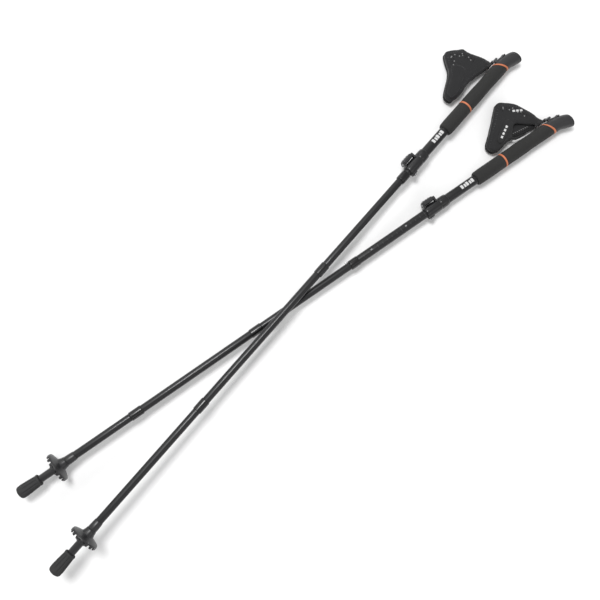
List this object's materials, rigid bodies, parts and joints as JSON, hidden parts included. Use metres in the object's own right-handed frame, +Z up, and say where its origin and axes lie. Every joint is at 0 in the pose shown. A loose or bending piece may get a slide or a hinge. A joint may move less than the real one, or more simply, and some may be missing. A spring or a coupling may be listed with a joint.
{
  "type": "trekking poles",
  "caption": "Pair of folding, length-adjustable trekking poles with foam grips, wrist straps, lever clamps, baskets and rubber feet, laid crossed.",
  "frame": {"origin": "middle of the footprint of the crossed pair, on the surface that it lies on", "axes": "+X from the tips to the grips along the bisector of the two poles, +Y to the side of the straps and clamp levers, +Z up"},
  "size_m": [1.155, 0.2496, 0.078],
  "materials": {
    "grip_plastic": "matte",
    "latch_plastic": "satin",
    "strap_fabric": "woven",
    "hook_tape": "hook and loop",
    "accent": "matte",
    "foam": "fine cell foam",
    "shaft": "dark satin",
    "clamp_plastic": "satin",
    "steel": "satin",
    "chrome": "polished",
    "alloy": "satin",
    "gloss_black": "gloss",
    "cord": "braided",
    "tip_plastic": "satin",
    "rubber": "matte"
  },
  "bodies": {
    "left_upper": {"left_head_shell": "grip_plastic", "left_head_cap": "grip_plastic", "left_accent_ring_upper": "accent", "left_grip_foam_upper": "foam", "left_accent_ring_lower": "accent", "left_grip_foam_lower": "foam", "left_upper_tube": "shaft", "left_clamp_collar": "clamp_plastic", "left_clamp_pin": "steel"},
    "left_button": {"left_release_button": "latch_plastic"},
    "left_strap": {"left_strap_anchor": "latch_plastic", "left_strap_wrap": "strap_fabric"},
    "left_tab": {"left_strap_tab": "hook_tape"},
    "left_lever": {"left_clamp_lever": "clamp_plastic"},
    "left_screw": {"left_clamp_screw": "steel"},
    "left_adjust": {"left_adjust_tube": "shaft", "left_lock_sleeve": "gloss_black", "left_section_1_tube": "shaft", "left_ferrule_1": "gloss_black", "left_tension_cord": "cord"},
    "left_snap": {"left_snap_button": "chrome"},
    "left_middle": {"left_spigot_1": "alloy", "left_section_2_tube": "shaft", "left_ferrule_2": "gloss_black"},
    "left_lower": {"left_spigot_2": "alloy", "left_section_3_tube": "shaft", "left_tip_shaft": "tip_plastic", "left_carbide_tip": "steel"},
    "left_basket": {"left_basket": "tip_plastic"},
    "left_foot": {"left_tip_protector": "rubber"},
    "right_upper": {"right_head_shell": "grip_plastic", "right_head_cap": "grip_plastic", "right_accent_ring_upper": "accent", "right_grip_foam_upper": "foam", "right_accent_ring_lower": "accent", "right_grip_foam_lower": "foam", "right_upper_tube": "shaft", "right_clamp_collar": "clamp_plastic", "right_clamp_pin": "steel"},
    "right_button": {"right_release_button": "latch_plastic"},
    "right_strap": {"right_strap_anchor": "latch_plastic", "right_strap_wrap": "strap_fabric"},
    "right_tab": {"right_strap_tab": "hook_tape"},
    "right_lever": {"right_clamp_lever": "clamp_plastic"},
    "right_screw": {"right_clamp_screw": "steel"},
    "right_adjust": {"right_adjust_tube": "shaft", "right_lock_sleeve": "gloss_black", "right_section_1_tube": "shaft", "right_ferrule_1": "gloss_black", "right_tension_cord": "cord"},
    "right_snap": {"right_snap_button": "chrome"},
    "right_middle": {"right_spigot_1": "alloy", "right_section_2_tube": "shaft", "right_ferrule_2": "gloss_black"},
    "right_lower": {"right_spigot_2": "alloy", "right_section_3_tube": "shaft", "right_tip_shaft": "tip_plastic", "right_carbide_tip": "steel"},
    "right_basket": {"right_basket": "tip_plastic"},
    "right_foot": {"right_tip_protector": "rubber"}
  },
  "joints": [
    {"name": "left_pole_lift", "type": "slide", "parent": "right_upper", "child": "left_upper", "axis": [0, 0, 1], "range_m": [0, 0.25]},
    {"name": "left_button_press", "type": "slide", "parent": "left_upper", "child": "left_button", "axis": [0.1205, -0.9927, 0], "range_m": [0, 0.002], "stiffness_N_per_m": 400},
    {"name": "left_strap_swivel", "type": "hinge", "parent": "left_upper", "child": "left_strap", "pos_m": [0.53991, 0.05209, 0.01518], "axis": [-0.1205, 0.9927, 0], "range_deg": [0, 65]},
    {"name": "left_strap_tab_peel", "type": "hinge", "parent": "left_strap", "child": "left_tab", "pos_m": [0.48373, 0.08557, 0.00176], "axis": [0.6004, -0.7995, -0.0182], "range_deg": [0, 40]},
    {"name": "left_clamp_lever_open", "type": "hinge", "parent": "left_upper", "child": "left_lever", "pos_m": [0.29084, 0.02428, 0.03032], "axis": [0.9921, 0.1204, -0.0364], "range_deg": [0, 95]},
    {"name": "left_clamp_screw_turn", "type": "hinge", "parent": "left_upper", "child": "left_screw", "pos_m": [0.28527, -0.00299, 0.02464], "axis": [-0.1205, 0.9927, 0], "range_deg": [-180, 180]},
    {"name": "left_length_adjust", "type": "slide", "parent": "left_upper", "child": "left_adjust", "axis": [-0.9921, -0.1204, 0.0364], "range_m": [0, 0.155]},
    {"name": "left_snap_press", "type": "slide", "parent": "left_adjust", "child": "left_snap", "axis": [-0.1205, 0.9927, 0], "range_m": [0, 0.002], "stiffness_N_per_m": 400},
    {"name": "left_middle_pull", "type": "slide", "parent": "left_adjust", "child": "left_middle", "axis": [-0.9921, -0.1204, 0.0364], "range_m": [0, 0.032]},
    {"name": "left_lower_pull", "type": "slide", "parent": "left_middle", "child": "left_lower", "axis": [-0.9921, -0.1204, 0.0364], "range_m": [0, 0.032]},
    {"name": "left_basket_turn", "type": "hinge", "parent": "left_lower", "child": "left_basket", "pos_m": [-0.50596, -0.08693, 0.05364], "axis": [0.9921, 0.1204, -0.0364], "range_deg": [0, 90]},
    {"name": "left_foot_pull_off", "type": "slide", "parent": "left_lower", "child": "left_foot", "axis": [-0.9921, -0.1204, 0.0364], "range_m": [0, 0.045]},
    {"name": "right_button_press", "type": "slide", "parent": "right_upper", "child": "right_button", "axis": [-0.1205, -0.9927, 0], "range_m": [0, 0.002], "stiffness_N_per_m": 400},
    {"name": "right_strap_swivel", "type": "hinge", "parent": "right_upper", "child": "right_strap", "pos_m": [0.54058, -0.08834, 0.01434], "axis": [0.1205, 0.9927, 0], "range_deg": [0, 65]},
    {"name": "right_strap_tab_peel", "type": "hinge", "parent": "right_strap", "child": "right_tab", "pos_m": [0.4827, -0.04102, 0.01899], "axis": [-0.392, 0.92, 0.0059], "range_deg": [0, 95]},
    {"name": "right_clamp_lever_open", "type": "hinge", "parent": "right_upper", "child": "right_lever", "pos_m": [0.27045, -0.05313, 0.02357], "axis": [0.9926, -0.1205, -0.0118], "range_deg": [0, 95]},
    {"name": "right_clamp_screw_turn", "type": "hinge", "parent": "right_upper", "child": "right_screw", "pos_m": [0.25866, -0.0783, 0.01767], "axis": [0.1205, 0.9927, 0], "range_deg": [-180, 180]},
    {"name": "right_length_adjust", "type": "slide", "parent": "right_upper", "child": "right_adjust", "axis": [-0.9926, 0.1205, 0.0118], "range_m": [-0.143, 0.02]},
    {"name": "right_snap_press", "type": "slide", "parent": "right_adjust", "child": "right_snap", "axis": [-0.1205, -0.9927, 0], "range_m": [0, 0.002], "stiffness_N_per_m": 400},
    {"name": "right_middle_pull", "type": "slide", "parent": "right_adjust", "child": "right_middle", "axis": [-0.9926, 0.1205, 0.0118], "range_m": [0, 0.032]},
    {"name": "right_lower_pull", "type": "slide", "parent": "right_middle", "child": "right_lower", "axis": [-0.9926, 0.1205, 0.0118], "range_m": [0, 0.032]},
    {"name": "right_basket_turn", "type": "hinge", "parent": "right_lower", "child": "right_basket", "pos_m": [-0.47336, 0.02263, 0.02641], "axis": [0.9926, -0.1205, -0.0118], "range_deg": [0, 90]},
    {"name": "right_foot_pull_off", "type": "slide", "parent": "right_lower", "child": "right_foot", "axis": [-0.9926, 0.1205, 0.0118], "range_m": [0, 0.045]}
  ]
}
